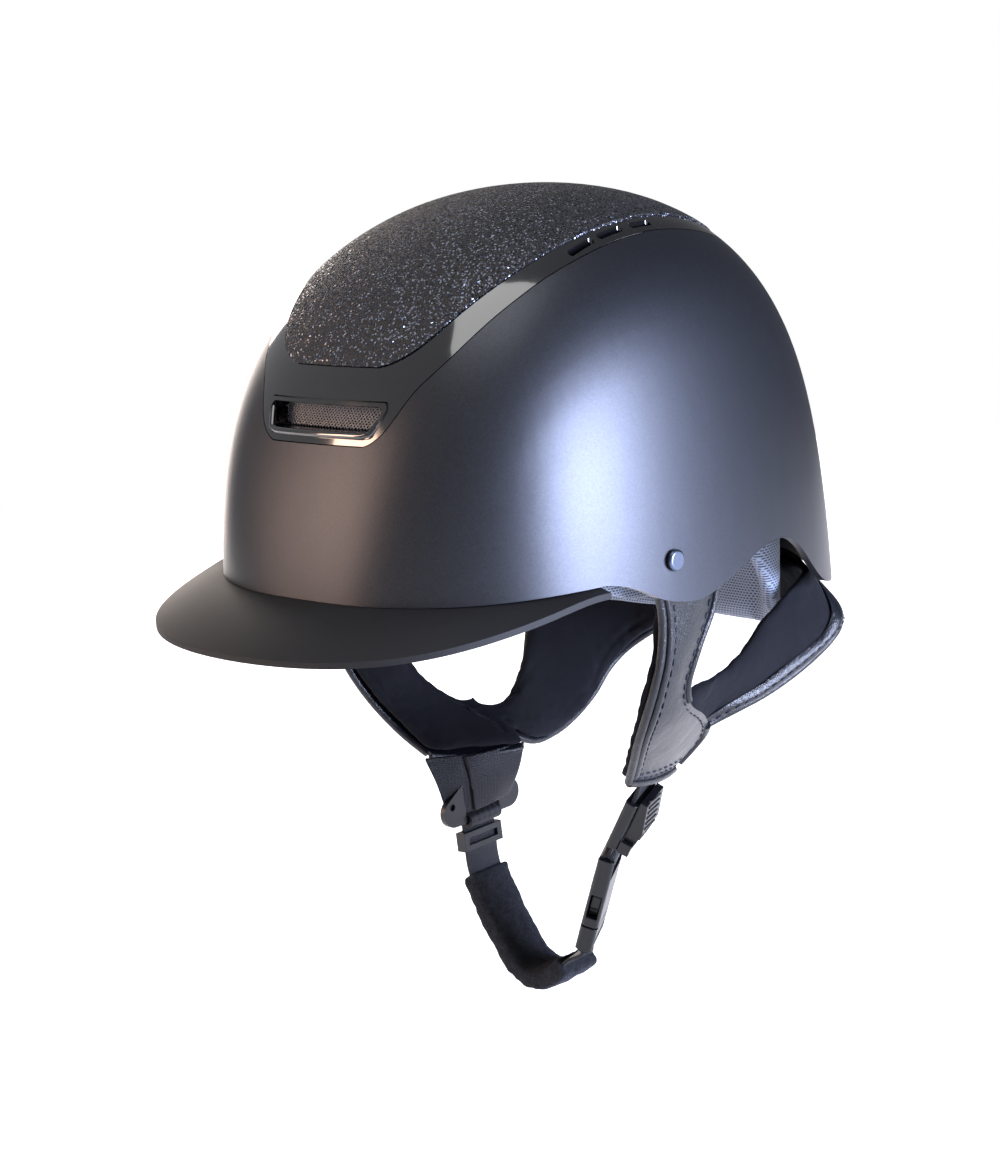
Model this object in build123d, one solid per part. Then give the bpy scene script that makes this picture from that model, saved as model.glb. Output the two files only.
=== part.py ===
from build123d import *
import math
import os

# Riding helmet, millimetres. The front is -Y, the wearer's left is +X and +Z is up.
# The origin is the centre of the head opening, in the plane of the front rim.

# Shell
half_length = 139.0
half_width = 110.5
dome_height = 207.0          # from the base plane to the crown
base_z = -56.0               # plane in which the dome is widest
shell_wall = 3.6
rim_front_z = 0.0
rim_back_z = -34.0
ear_lobe_z = -15.4

# The dome's plan, side and front outlines, from 0 for an ellipse to 1 for a square
plan_squareness = 0.70
side_squareness = 0.65
front_squareness = 0.83
dome_steps_y = 36
dome_steps_turn = 24

# Crown panel and its inlay
panel_half_width = 72.0
panel_front_z = 61.0
panel_back_z = 104.0
panel_depth = 1.8
panel_gap = 0.45
crown_split_y = 8.0
inlay_half_width = 63.7
inlay_front_z = 91.0
inlay_back_z = 109.0
inlay_rise = 0.7
inlay_seat = 0.8
slot_width = 3.0
slot_x = 67.2
slot_spans = [(-34.0, -19.0), (-16.0, -1.0), (4.0, 17.0)]
slot_depth = 12.0

# Front vent
vent_top_half = 35.0
vent_bottom_half = 28.5
vent_top_z = 76.5
vent_bottom_z = 66.0
bezel_wall = 1.5
bezel_depth = 11.0
grille_setback = 7.0
grille_thickness = 1.0

# Visor
visor_reach = 176.2
visor_half_width = 110.0
visor_thickness = 2.6
visor_root_inset = 8.0
visor_sweep = 1.30           # radians each side of the middle
visor_centre_y = -27.9
visor_squareness = 0.72
visor_hang = 25.2            # how far the edge drops at the front
visor_curl = 4.55            # and how much further it drops at the sides
visor_spring_z = 12.4

# Liner and comfort pads
layer_gap = 0.35
liner_length_inset = 30.0
liner_width_inset = 22.0
liner_height_inset = 26.0
brow_pad_thickness = 7.5
brow_pad_top_z = 27.0
brow_pad_end_y = 20.0
crown_pad_thickness = 5.0
crown_pad_half_x = 52.0
crown_pad_half_y = 74.0

# Harness
leather_thickness = 2.0
lining_thickness = 5.0
lining_gap = 0.5
left_band_start = 0.9        # shares that leave a narrow gap between each arm and its band
right_band_start = 0.68
rivet_y = -29.0
rivet_z = 3.7
rivet_head_radius = 4.5
rivet_shank_radius = 2.4
rivet_length = 10.9
washer_radius = 5.5
washer_thickness = 1.0

# Occipital cradle
cradle_pivot_y = 42.0
cradle_pivot_z = 15.0
cradle_thickness = 2.0
cradle_top_z = 5.0
cradle_bottom_z = -8.0
occipital_pad_thickness = 9.0
occipital_pad_bottom_z = -58.0
pin_radius = 3.0
pin_head_radius = 5.0
running_clearance = 0.08
cradle_eye_radius = 7.0

# Straps and buckles
strap_y = 8.0
webbing_width = 20.0
webbing_thickness = 1.5
strap_clearance = 0.4
v_plate_x = -54.0
v_plate_bar_z = -142.0
v_plate_thickness = 3.0
bar_size = 3.0
loop_radius = 2.4            # inner radius of webbing sewn round a bar
buckle_width = 24.0
buckle_thickness = 8.0
buckle_insertion = 15.0
buckle_middle = Vector(17.5, 8.0, -171.0)
buckle_twist = 28.0
female_length = 36.0
male_length = 12.5
prong_width = 3.4
chin_pad_width = 25.0
chin_pad_thickness = 10.0
slider_length = 9.0
adjuster_middle = Vector(41.0, 8.0, -126.0)
adjuster_twist = 20.0
adjuster_length = 26.0
adjuster_width = 24.0
adjuster_thickness = 6.0
lever_thickness = 5.0
lever_pin_radius = 1.0

MIDDLE = (0.0, 30.0, -60.0)  # a point inside the wearer's head, for telling in from out


def squircle(value, squareness):
    """Half-extent at the given share of the other axis, for a rounded-square curve."""
    left = max(0.0, 1.0 - value * value)
    return math.sqrt(left / (1.0 - squareness * squareness * value * value))


def corner_bulge(angle, squareness):
    """Radius of a rounded-square curve of half-width 1 at an angle."""
    lean = squareness * math.sin(2 * angle)
    return math.sqrt(2.0 / (1.0 + math.sqrt(1.0 - lean * lean)))


def dome_section(y, insets):
    """Half-width and height of the dome in the plane at y."""
    share = y / (half_length - insets[0])
    width = (half_width - insets[1]) * squircle(share, plan_squareness) * (1.0 + 0.003 * share)
    height = (dome_height - insets[2]) * squircle(share, side_squareness)
    return width, height * (1.0 + 0.052 * share - 0.033 * share * share)


def dome_half_width(y, z, insets=(0.0, 0.0, 0.0)):
    width, height = dome_section(y, insets)
    return width * squircle((z - base_z) / height, front_squareness)


def dome(inset, width_inset=None, height_inset=None):
    """Closed solid of the dome above the base plane, smaller by one inset or by three."""
    insets = (inset, inset, inset)
    if width_inset is not None:
        insets = (inset, width_inset, height_inset)
    rows = []
    for step in range(dome_steps_y + 1):
        angle = math.radians(3.0 + 174.0 * step / dome_steps_y)
        y = -(half_length - insets[0]) * math.cos(angle)
        width, height = dome_section(y, insets)
        row = []
        for turn in range(dome_steps_turn + 1):
            v = math.pi * turn / dome_steps_turn
            bulge = corner_bulge(v, front_squareness)
            row.append(Vector(-width * bulge * math.cos(v), y, base_z + height * bulge * math.sin(v)))
        rows.append(row)
    skin = Face.make_surface_from_array_of_points(rows)
    caps = []
    sides = []
    for edge in skin.edges():
        box = edge.bounding_box()
        if box.size.Y < 0.1:
            caps.append(edge)
        else:
            sides.append(edge)
    floor = Face.make_surface_from_curves(sides[0], sides[1])
    ends = []
    for edge in caps:
        ends.append(Face(Wire([edge, Edge.make_line(edge @ 0, edge @ 1)])))
    return Solid(Shell([skin, floor, *ends]))


def grid_solid(top, bottom):
    """Closed solid between two grids of points of the same shape."""
    upper = Face.make_surface_from_array_of_points(top)
    lower = Face.make_surface_from_array_of_points(bottom)
    sides = []
    for a, b in zip(upper.edges(), lower.edges()):
        sides.append(Face.make_surface_from_curves(a, b))
    solid = Solid(Shell([upper, lower, *sides]))
    if solid.volume < 0:
        solid = Solid(Shell([upper, lower, *sides]).reversed())
    return solid


def grid_normals(grid):
    """Unit normals of a grid of points, pointing away from the wearer's head."""
    rows = len(grid)
    columns = len(grid[0])
    out = []
    for i in range(rows):
        line = []
        for j in range(columns):
            down = grid[min(i + 1, rows - 1)][j] - grid[max(i - 1, 0)][j]
            along = grid[i][min(j + 1, columns - 1)] - grid[i][max(j - 1, 0)]
            normal = down.cross(along).normalized()
            if normal.dot(grid[i][j] - Vector(*MIDDLE)) < 0:
                normal = normal * -1.0
            line.append(normal)
        out.append(line)
    return out


def layer(grid, outer, inner):
    """Solid between two depths below the surface through a grid of points."""
    normals = grid_normals(grid)
    top = []
    bottom = []
    for points, directions in zip(grid, normals):
        top.append([p - n * outer for p, n in zip(points, directions)])
        bottom.append([p - n * inner for p, n in zip(points, directions)])
    return grid_solid(top, bottom)


def between(edge_a, edge_b, middle=None, rows=5):
    """Grid of points from one edge to the other, bowed through a middle line if there is one."""
    grid = []
    for i in range(rows):
        t = i / (rows - 1)
        row = []
        for k in range(len(edge_a)):
            a = Vector(*edge_a[k])
            b = Vector(*edge_b[k])
            if middle is None:
                row.append(a + (b - a) * t)
            else:
                m = Vector(*middle[k])
                row.append(a * ((1 - t) * (1 - 2 * t)) + m * (4 * t * (1 - t)) + b * (t * (2 * t - 1)))
        grid.append(row)
    return grid


def side_cutter(profile, reach=160.0, floor=-80.0):
    """Everything below a profile of (y, z) points seen from the side."""
    first = (profile[0][0], profile[0][1])
    last = (profile[-1][0], profile[-1][1])
    curve = Spline([Vector(0, y, z) for y, z in profile])
    front = -200.0
    back = 200.0
    wire = Wire([
        Edge.make_line(Vector(0, front, first[1]), Vector(0, *first)),
        *curve.edges(),
        Edge.make_line(Vector(0, *last), Vector(0, back, last[1])),
        Edge.make_line(Vector(0, back, last[1]), Vector(0, back, floor)),
        Edge.make_line(Vector(0, back, floor), Vector(0, front, floor)),
        Edge.make_line(Vector(0, front, floor), Vector(0, front, first[1])),
    ])
    face = Face(wire)
    return Pos(-reach, 0, 0) * extrude(face, amount=2 * reach, dir=(1, 0, 0))


def rim_profile(lift=0.0):
    """Lower edge of the shell seen from the side, from the front straight to the back."""
    points = [(-64, rim_front_z), (-55, -2.2), (-46, -6), (-37, -11), (-27, -14), (-16, ear_lobe_z)]
    points += [(-5, -13.4), (12, -8), (24, -4), (38, -1.8), (50, -3.8), (60, -10), (69, -19)]
    points += [(80, -28), (92, rim_back_z + 1), (104, rim_back_z)]
    return [(y, z + lift) for y, z in points]


def outline_prism(half, top_z, y0, y1, corner_points=1):
    """Prism along Y whose outline is given by its right half from the bottom up, mirrored."""
    flat = half[:corner_points + 1]
    side = half[corner_points:]
    edges = []
    for sign in (1, -1):
        for a, b in zip(flat[:-1], flat[1:]):
            edges.append(Edge.make_line(Vector(sign * a[0], 0, a[1]), Vector(sign * b[0], 0, b[1])))
        curve = Spline([Vector(sign * x, 0, z) for x, z in side])
        edges += list(curve.edges())
        x, z = side[-1]
        edges.append(Edge.make_line(Vector(sign * x, 0, z), Vector(sign * x, 0, top_z)))
    x = side[-1][0]
    edges.append(Edge.make_line(Vector(-x, 0, top_z), Vector(x, 0, top_z)))
    face = Face(Wire(edges))
    return Pos(0, y0, 0) * extrude(face, amount=y1 - y0, dir=(0, 1, 0))


def grown(half, amount):
    """The right half of an outline moved outwards by an amount."""
    out = []
    for i, (x, z) in enumerate(half):
        before = half[max(i - 1, 0)]
        after = half[min(i + 1, len(half) - 1)]
        dx = after[0] - before[0]
        dz = after[1] - before[1]
        size = math.hypot(dx, dz)
        if i == 0:
            out.append((x, z - amount))
        else:
            out.append((x + amount * dz / size, z - amount * dx / size))
    out[-1] = (half[-1][0] + amount, half[-1][1])
    return out


def crown_outline(front, back, amount):
    """Prism that cuts the dome along an outline given for its front and for its back half."""
    ahead = outline_prism(grown(front, amount), 200.0, -170.0, crown_split_y)
    behind = outline_prism(grown(back, amount), 200.0, crown_split_y, 170.0)
    return ahead + behind


def panel_prism(amount=0.0):
    w = panel_half_width
    z = panel_front_z
    front = [(0, z), (27, z), (31.6, z + 2), (36.6, z + 6.5), (41, z + 13.4), (45.4, z + 21)]
    front += [(52, z + 29), (58.7, z + 39), (63.3, z + 47.6), (66, z + 53), (68.7, z + 59.6)]
    front += [(w - 1.2, z + 65), (w - 0.3, z + 70), (w, z + 77)]
    b = panel_back_z
    back = [(0, b), (12, b), (26, b + 1.5), (42, b + 6), (56, b + 13), (66, b + 20)]
    back += [(w - 1, b + 27), (w, b + 34)]
    return crown_outline(front, back, amount)


def inlay_prism(amount=0.0):
    w = inlay_half_width
    z = inlay_front_z
    front = [(0, z), (24, z), (32.6, z + 2.6), (37, z + 5), (42.6, z + 9.7), (47.6, z + 16)]
    front += [(52, z + 22.5), (56, z + 28.5), (59.3, z + 34), (61.8, z + 39)]
    front += [(w - 0.4, z + 43), (w, z + 47)]
    b = inlay_back_z
    back = [(0, b), (12, b), (24, b + 1.2), (38, b + 6), (50, b + 14), (58, b + 22), (w, b + 30)]
    return crown_outline(front, back, amount)


def slots(amount=0.0):
    """The six narrow vents beside the inlay, as upright cutters."""
    cutters = []
    for sign in (-1, 1):
        for y0, y1 in slot_spans:
            length = y1 - y0 + 2 * amount
            shape = SlotOverall(length, slot_width + 2 * amount, rotation=90)
            cutters.append(Pos(sign * slot_x, (y0 + y1) / 2, 90) * extrude(shape, amount=80))
    return cutters


def vent_prism(amount, y0, y1):
    """Trapezoid of the front vent, along Y."""
    z0 = vent_bottom_z - amount
    z1 = vent_top_z + amount
    a = vent_bottom_half + amount
    b = vent_top_half + amount
    points = [(-a, z0), (a, z0), (b, z1), (-b, z1)]
    face = Face(Wire.make_polygon([Vector(x, 0, z) for x, z in points]))
    face = fillet(face.vertices(), radius=2.5)
    return Pos(0, y0, 0) * extrude(face, amount=y1 - y0, dir=(0, 1, 0))


def bar(axis_from, axis_to, radius):
    """Round bar between two points."""
    start = Vector(*axis_from)
    line = Vector(*axis_to) - start
    return Solid.make_cylinder(radius, line.length, Plane(origin=start, z_dir=line))


def strap(stations, thickness):
    """Flat strap through (centre, width vector) stations."""
    top = []
    bottom = []
    count = len(stations)
    for k in range(count):
        centre, width = stations[k]
        before = stations[max(k - 1, 0)][0]
        after = stations[min(k + 1, count - 1)][0]
        tangent = Vector(*after) - Vector(*before)
        across = Vector(*width)
        normal = tangent.cross(across).normalized() * (thickness / 2)
        top.append([Vector(*centre) + across * (s / 2) + normal for s in (-1, 0, 1)])
        bottom.append([Vector(*centre) + across * (s / 2) - normal for s in (-1, 0, 1)])
    return grid_solid(top, bottom)


def local_box(width, depth, low, high, x=0.0, y=0.0):
    return Pos(x, y, (low + high) / 2) * Box(width, depth, high - low)


# ---- frames of the buckle, the adjuster and the straps ----

swing_axis = Vector(v_plate_x, strap_y, v_plate_bar_z)
arm = Vector(buckle_middle.X - swing_axis.X, 0, buckle_middle.Z - swing_axis.Z).normalized()
buckle_up = Vector(-arm.Z, 0, arm.X)


def twisted(up, outward, degrees):
    """Width direction of a strap that runs along up and is turned about it."""
    angle = math.radians(degrees)
    return Vector(0, 1, 0) * math.cos(angle) - outward * math.sin(angle)


buckle_across = twisted(buckle_up, arm, buckle_twist)
buckle_plane = Plane(origin=buckle_middle, x_dir=buckle_across, z_dir=buckle_up)
adjuster_up = Vector(0.526, 0, 0.850).normalized()
adjuster_out = Vector(adjuster_up.Z, 0, -adjuster_up.X)
adjuster_across = twisted(adjuster_up, adjuster_out, adjuster_twist)
adjuster_plane = Plane(origin=adjuster_middle, x_dir=adjuster_across, z_dir=adjuster_up)


def placed(plane, shape):
    return plane.location * shape


# ---- shell, crown panel, inlay, vent and visor ----

def make_shell_parts():
    outer = dome(0)
    rim = side_cutter(rim_profile())
    below_panel = dome(panel_depth + layer_gap)
    shell = outer - dome(shell_wall) - rim
    shell = shell - (panel_prism() - below_panel)
    shell = shell - vent_prism(bezel_wall + layer_gap, -170, -90)
    for cutter in slots(0.3):
        shell = shell - cutter
    for sign in (-1, 1):
        hole = bar((sign * 90, rivet_y, rivet_z), (sign * 130, rivet_y, rivet_z), rivet_shank_radius + 0.2)
        shell = shell - hole
    panel = (outer - dome(panel_depth)) & panel_prism(-panel_gap)
    seat = inlay_prism(layer_gap) - dome(inlay_seat + layer_gap)
    panel = panel - seat - vent_prism(bezel_wall + layer_gap, -170, -90)
    for cutter in slots():
        panel = panel - cutter
    inlay = (dome(-inlay_rise) - dome(inlay_seat)) & inlay_prism()
    return {"outer_shell": shell, "top_panel": panel, "glitter_inlay": inlay}


def make_vent():
    ring = vent_prism(bezel_wall, -170, -95) - vent_prism(0, -170, -95)
    bezel = (ring & dome(-0.6)) - dome(bezel_depth)
    plug = vent_prism(-0.3, -170, -95) & dome(grille_setback)
    grille = plug - dome(grille_setback + grille_thickness)
    return {"vent_bezel": bezel, "vent_grille": grille}


def rim_radius(angle, inset):
    """Distance from the visor's centre to the dome at the rim, at an angle from straight ahead."""
    low = 0.0
    high = 160.0
    for _ in range(40):
        middle = (low + high) / 2
        x = middle * math.sin(angle)
        y = visor_centre_y - middle * math.cos(angle)
        inside = abs(y) < half_length - inset - 0.5 and x < dome_half_width(y, rim_front_z, (inset,) * 3)
        if inside:
            low = middle
        else:
            high = middle
    return low


def make_visor():
    """Peak under the front rim: a root inside the shell line, and a long curved edge."""
    top = []
    bottom = []
    steps = 24
    depth = visor_reach + visor_centre_y
    for k in range(steps + 1):
        t = visor_sweep * (2 * k / steps - 1)
        bulge = corner_bulge(t, visor_squareness)
        across = bulge * math.sin(t)
        ahead = bulge * math.cos(t)
        x = visor_half_width * across
        y = visor_centre_y - depth * ahead
        z = visor_spring_z - visor_hang * ahead - visor_curl * across * across
        angle = math.atan2(abs(x), visor_centre_y - y)
        root = rim_radius(angle, visor_root_inset)
        wall = rim_radius(angle, 0.6)
        sign = 1 if x >= 0 else -1
        reach = math.hypot(x, y - visor_centre_y)
        edge_reach = max(reach, wall + 1.5)
        edge_z = min(z, rim_front_z - 0.9)
        upper = []
        for share, drop in ((0.0, 0.0), (0.33, 0.06), (0.66, 0.42), (1.0, 1.0)):
            radius = root + (edge_reach - root) * share
            height = rim_front_z - layer_gap + (edge_z - rim_front_z) * drop
            upper.append(Vector(sign * radius * math.sin(angle),
                                visor_centre_y - radius * math.cos(angle), height))
        top.append(upper)
        bottom.append([p - Vector(0, 0, visor_thickness) for p in upper])
    return {"visor": grid_solid(top, bottom)}


# ---- liner and pads ----

def make_liner_parts():
    gap = shell_wall + layer_gap
    insets = (liner_length_inset, liner_width_inset, liner_height_inset)
    liner = dome(gap) - dome(*insets)
    lower = [(-90, 3.5), (-60, 3.5), (-45, 6), (-20, 8), (10, 8), (30, 6), (44, 5), (56, 9)]
    lower += [(68, 14), (80, 15), (100, 15)]
    liner = liner - side_cutter(lower)
    for sign in (-1, 1):
        pocket = Pos(sign * 107, -18, -10) * Box(27, 68, 56)
        liner = liner - pocket
        hole = bar((sign * 60, cradle_pivot_y, cradle_pivot_z),
                   (sign * 94, cradle_pivot_y, cradle_pivot_z), pin_radius)
        liner = liner - hole
    liner = liner - vent_prism(bezel_wall + layer_gap, -170, -80)
    grooves = dome(slot_depth)
    for cutter in slots(1.0):
        liner = liner - (cutter - grooves)
    brow_outer = [inset + layer_gap for inset in insets]
    brow_inner = [inset + layer_gap + brow_pad_thickness for inset in insets]
    brow = dome(*brow_outer) - dome(*brow_inner)
    brow = brow - side_cutter(rim_profile(-3.5))
    ahead = 180.0
    around = Box(2.3 * half_width, ahead + brow_pad_end_y, 2 * brow_pad_top_z + 20)
    brow = brow & (Pos(0, (brow_pad_end_y - ahead) / 2, -10) * around)
    crown_inner = [inset + layer_gap + crown_pad_thickness for inset in insets]
    crown = dome(*brow_outer) - dome(*crown_inner)
    disc = extrude(Ellipse(crown_pad_half_x, crown_pad_half_y), amount=140)
    crown = crown & (Pos(0, 0, 40) * disc)
    return {"eps_liner": liner, "brow_pad": brow, "crown_pad": crown}


# ---- harness ----

LEFT = {
    "arm_front": [(101.3, -40, 9), (100.5, -31, -17), (99, -31, -36), (96, -33, -50), (90, -33, -64),
                  (82, -30, -77), (72, -23, -90), (60, -14, -103)],
    "arm_back": [(102.3, 2, 9), (99, 7, -18), (96, -3, -40), (92, -7, -56), (88, -1, -67),
                 (76, 22, -80), (61, 38, -94), (47, 31, -111)],
    "band_low": [(58, 24, -96), (63, 41, -91), (70, 53, -86), (76, 68, -81), (82, 86, -73),
                 (87, 102, -63), (84, 113, -58), (70, 124, -58), (44, 131.5, -60), (22, 133.6, -61),
                 (1.2, 134, -61)],
    "band_middle": [(72, 14, -83), (72, 28, -80), (75, 41, -75), (79, 56, -69), (84, 76, -59),
                    (87.5, 98, -50), (81.5, 112, -47), (66, 122, -47), (43.5, 130, -46),
                    (22, 132.8, -46), (1.2, 133.6, -46)],
    "band_high": [(80, 2, -70), (80, 14, -68.5), (79.5, 27, -66), (79, 41, -61), (79, 56, -52),
                  (81, 74, -39), (80, 96, -30), (61, 117, -30), (42, 125.5, -28), (22, 129.3, -28),
                  (1.2, 130.6, -28)],
}
RIGHT = {
    "arm_front": [(-101.3, -40, 9), (-101, -32, -17), (-100, -32, -38), (-97, -33, -52), (-93, -33, -64),
                  (-86, -27, -81), (-75, -20, -97), (-60, -16, -108)],
    "arm_back": [(-102.3, 2, 9), (-99, 9, -18), (-97, 6, -42), (-93, 3, -60), (-89, 3, -72),
                 (-81, 12, -88), (-66, 27, -101), (-43, 29, -114)],
    "band_low": [(-54, 20, -104), (-54, 43, -116), (-55, 60, -117), (-55, 76, -113), (-55, 92, -105),
                 (-55, 105, -95), (-50, 116, -86), (-36, 125, -76), (-18, 131, -67), (-2.4, 134, -61)],
    "band_middle": [(-66, 15, -96), (-63, 36, -101), (-63, 52, -99), (-66, 66, -94), (-70, 82, -82),
                    (-73, 97, -68), (-67, 112, -60), (-49, 125, -55), (-24, 131.5, -48),
                    (-2.4, 133.8, -46)],
    "band_high": [(-78, 8, -85), (-70, 27, -90), (-66, 44, -90), (-75, 65, -68),
                  (-83, 82, -44), (-82, 97, -32), (-69, 112, -30), (-47, 124, -29), (-24, 129.5, -28),
                  (-2.4, 131, -28)],
}


def opened(line, share):
    """A band's edge that starts just clear of the arm, a share of the way to its second point."""
    first = Vector(*line[0]) + (Vector(*line[1]) - Vector(*line[0])) * share
    return [tuple(first), *line[2:]]


def make_harness(side, lines, start):
    """Leather outside and soft lining inside: a front arm with its stem, and a band round the nape."""
    nodes = {}
    arm_grid = between(lines["arm_front"], lines["arm_back"])
    arm_leather = layer(arm_grid, 0.0, leather_thickness)
    sign = 1 if side == "left" else -1
    hole = bar((sign * 90, rivet_y, rivet_z), (sign * 120, rivet_y, rivet_z), rivet_shank_radius + 0.2)
    nodes["harness_arm_" + side] = arm_leather - hole
    lining_front = lines["arm_front"][1:]
    lining_back = lines["arm_back"][1:]
    lining_grid = between(lining_front, lining_back)
    depth = leather_thickness + lining_gap
    inner = depth + lining_thickness
    nodes["lining_arm_" + side] = layer(lining_grid, depth, inner - 1.5)
    low = opened(lines["band_low"], start)
    middle = opened(lines["band_middle"], start)
    high = opened(lines["band_high"], start)
    leather_rows = []
    for i in range(5):
        row = []
        for k in range(len(low)):
            t = min(1.0, 0.44 + 0.16 * k) * i / 4
            a = Vector(*low[k])
            b = Vector(*high[k])
            m = Vector(*middle[k])
            row.append(a * ((1 - t) * (1 - 2 * t)) + m * (4 * t * (1 - t)) + b * (t * (2 * t - 1)))
        leather_rows.append(row)
    nodes["harness_band_" + side] = layer(leather_rows, 0.0, leather_thickness)
    nodes["lining_band_" + side] = layer(between(low, high, middle), depth, inner)
    return nodes


def make_rivets():
    nodes = {}
    for side, sign in (("left", 1), ("right", -1)):
        x = dome_half_width(rivet_y, rivet_z)
        head = Pos(x + 1.5, 0, 0) * (Rot(0, 90, 0) * Cylinder(rivet_head_radius, 2.0))
        head = fillet(head.edges().sort_by(Axis.X)[-1], 1.2)
        shank = Rot(0, 90, 0) * Cylinder(rivet_shank_radius, rivet_length)
        shank = Pos(x + 0.5 - rivet_length / 2, 0, 0) * shank
        rivet = Pos(0, rivet_y, rivet_z) * (head + shank)
        ring = Rot(0, 90, 0) * (Cylinder(washer_radius, washer_thickness)
                                - Cylinder(rivet_shank_radius + 0.1, 3 * washer_thickness))
        washer = Pos(x + 0.5 - rivet_length + 0.8, rivet_y, rivet_z) * ring
        if sign < 0:
            rivet = mirror(rivet, about=Plane.YZ)
            washer = mirror(washer, about=Plane.YZ)
        nodes["rivet_" + side] = rivet
        nodes["rivet_washer_" + side] = washer
    return nodes


# ---- occipital cradle ----

CRADLE_LINE = [(72, 55), (72.5, 67), (72, 78), (69, 88), (62, 95), (50, 99), (34, 101), (17, 101.5),
               (0, 101.5)]




def cradle_rows(z_low, z_high, narrowing=0.0, rows=4):
    """Grid round the back of the head, from the left front edge to the right front edge."""
    line = CRADLE_LINE + [(-x, y) for x, y in reversed(CRADLE_LINE[:-1])]
    grid = []
    for i in range(rows):
        t = i / (rows - 1)
        z = z_low + (z_high - z_low) * t
        squeeze = 1.0 - narrowing * (1 - t)
        row = []
        for x, y in line:
            share = min(1.0, abs(x) / 72.0)
            row.append(Vector(x * squeeze, y * (1.0 - 0.03 * (1 - t)), z + 2.5 * share * share))
        grid.append(row)
    return grid


def make_cradle():
    yoke = layer(cradle_rows(cradle_bottom_z, cradle_top_z, rows=3), 0.5, 0.5 + cradle_thickness)
    cradle = yoke
    for sign in (-1, 1):
        x = sign * 70.5
        eye = bar((x - cradle_thickness / 2, cradle_pivot_y, cradle_pivot_z),
                  (x + cradle_thickness / 2, cradle_pivot_y, cradle_pivot_z), cradle_eye_radius)
        link = Wire.make_polygon([Vector(x, cradle_pivot_y - 5, cradle_pivot_z - 5),
                                  Vector(x, cradle_pivot_y + 5, cradle_pivot_z + 5),
                                  Vector(x, 66, cradle_top_z + 1), Vector(x, 66, cradle_bottom_z + 3)])
        tab = Pos(-cradle_thickness / 2, 0, 0) * extrude(Face(link), amount=cradle_thickness, dir=(1, 0, 0))
        hole = bar((x - 6, cradle_pivot_y, cradle_pivot_z), (x + 6, cradle_pivot_y, cradle_pivot_z),
                   pin_radius + running_clearance)
        cradle = cradle + eye + tab - hole
    pad = layer(cradle_rows(occipital_pad_bottom_z, cradle_bottom_z - 1.0, 0.03, rows=5),
                0.0, occipital_pad_thickness)
    pins = []
    for sign in (-1, 1):
        shank = bar((sign * 68.0, cradle_pivot_y, cradle_pivot_z),
                    (sign * 94, cradle_pivot_y, cradle_pivot_z), pin_radius)
        head = bar((sign * 66.4, cradle_pivot_y, cradle_pivot_z),
                   (sign * 68.6, cradle_pivot_y, cradle_pivot_z), pin_head_radius)
        pins.append(shank + head)
    return {"occipital_cradle": cradle, "occipital_pad": pad, "cradle_pins": Compound(pins)}


# ---- straps and hardware ----

def y_across(width):
    return (0, width, 0)


def make_v_side():
    """Right side: two webbings sewn into the harness, the V plate that gathers them."""
    plate = make_hull([*(Pos(-10, -136) * Circle(7.0)).edges(), *(Pos(26, -136) * Circle(7.0)).edges(),
                       *(Pos(8, -122) * Circle(5.0)).edges()])
    slot_top = v_plate_bar_z + loop_radius + webbing_thickness + 1.3
    window = Pos(strap_y, (v_plate_bar_z + bar_size / 2 + slot_top) / 2) * Rectangle(
        webbing_width + 2, slot_top - v_plate_bar_z - bar_size / 2)
    below = Pos(strap_y, v_plate_bar_z - bar_size / 2 - 5) * Rectangle(webbing_width + 2, 10)
    flat = plate - window - below
    for y in (-11.5, 27.5):
        flat = flat - Pos(y, -133) * Circle(1.6)
    body = Plane.YZ.location * extrude(flat, amount=v_plate_thickness)
    body = Pos(v_plate_x - v_plate_thickness / 2, 0, 0) * body
    front_web = strap([((-60, -6, -105), (0, 18, 3)), ((-58, -7, -115), (0, 17, 5)),
                       ((-57, -8, -124), (0, 14, 7)), ((-56.8, -9, -133), (0, 12, 6))], webbing_thickness)
    back_web = strap([((-53, 22, -107), (2, 20, 0)), ((-55, 22, -116), (1, 19, -3)),
                      ((-56.2, 23, -125), (0, 15, -6)), ((-56.8, 24, -133), (0, 12, -6))],
                     webbing_thickness)
    return {"v_plate": body, "v_webbing_front": front_web, "v_webbing_back": back_web}


def chin_path():
    """Middle line of the chin webbing from the V plate's bar to the buckle."""
    return [(-56.9, -143.4), (-56.6, -148), (-56.3, -153), (-56.0, -158), (-55.7, -163), (-54.5, -169),
            (-50.8, -178), (-45, -189), (-38, -200), (-30, -209.5), (-18, -214), (-6, -209.5), (1, -202.5)]


def male_bar_point():
    return buckle_middle - buckle_up * (buckle_insertion / 2 + 1 + male_length - bar_size / 2)


def ring(centre, axis, width, inner):
    """Webbing sewn round a bar."""
    start = centre - axis * (width / 2)
    outer = Solid.make_cylinder(inner + webbing_thickness, width, Plane(origin=start, z_dir=axis))
    hole = Solid.make_cylinder(inner, width, Plane(origin=start, z_dir=axis))
    return outer - hole


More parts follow.
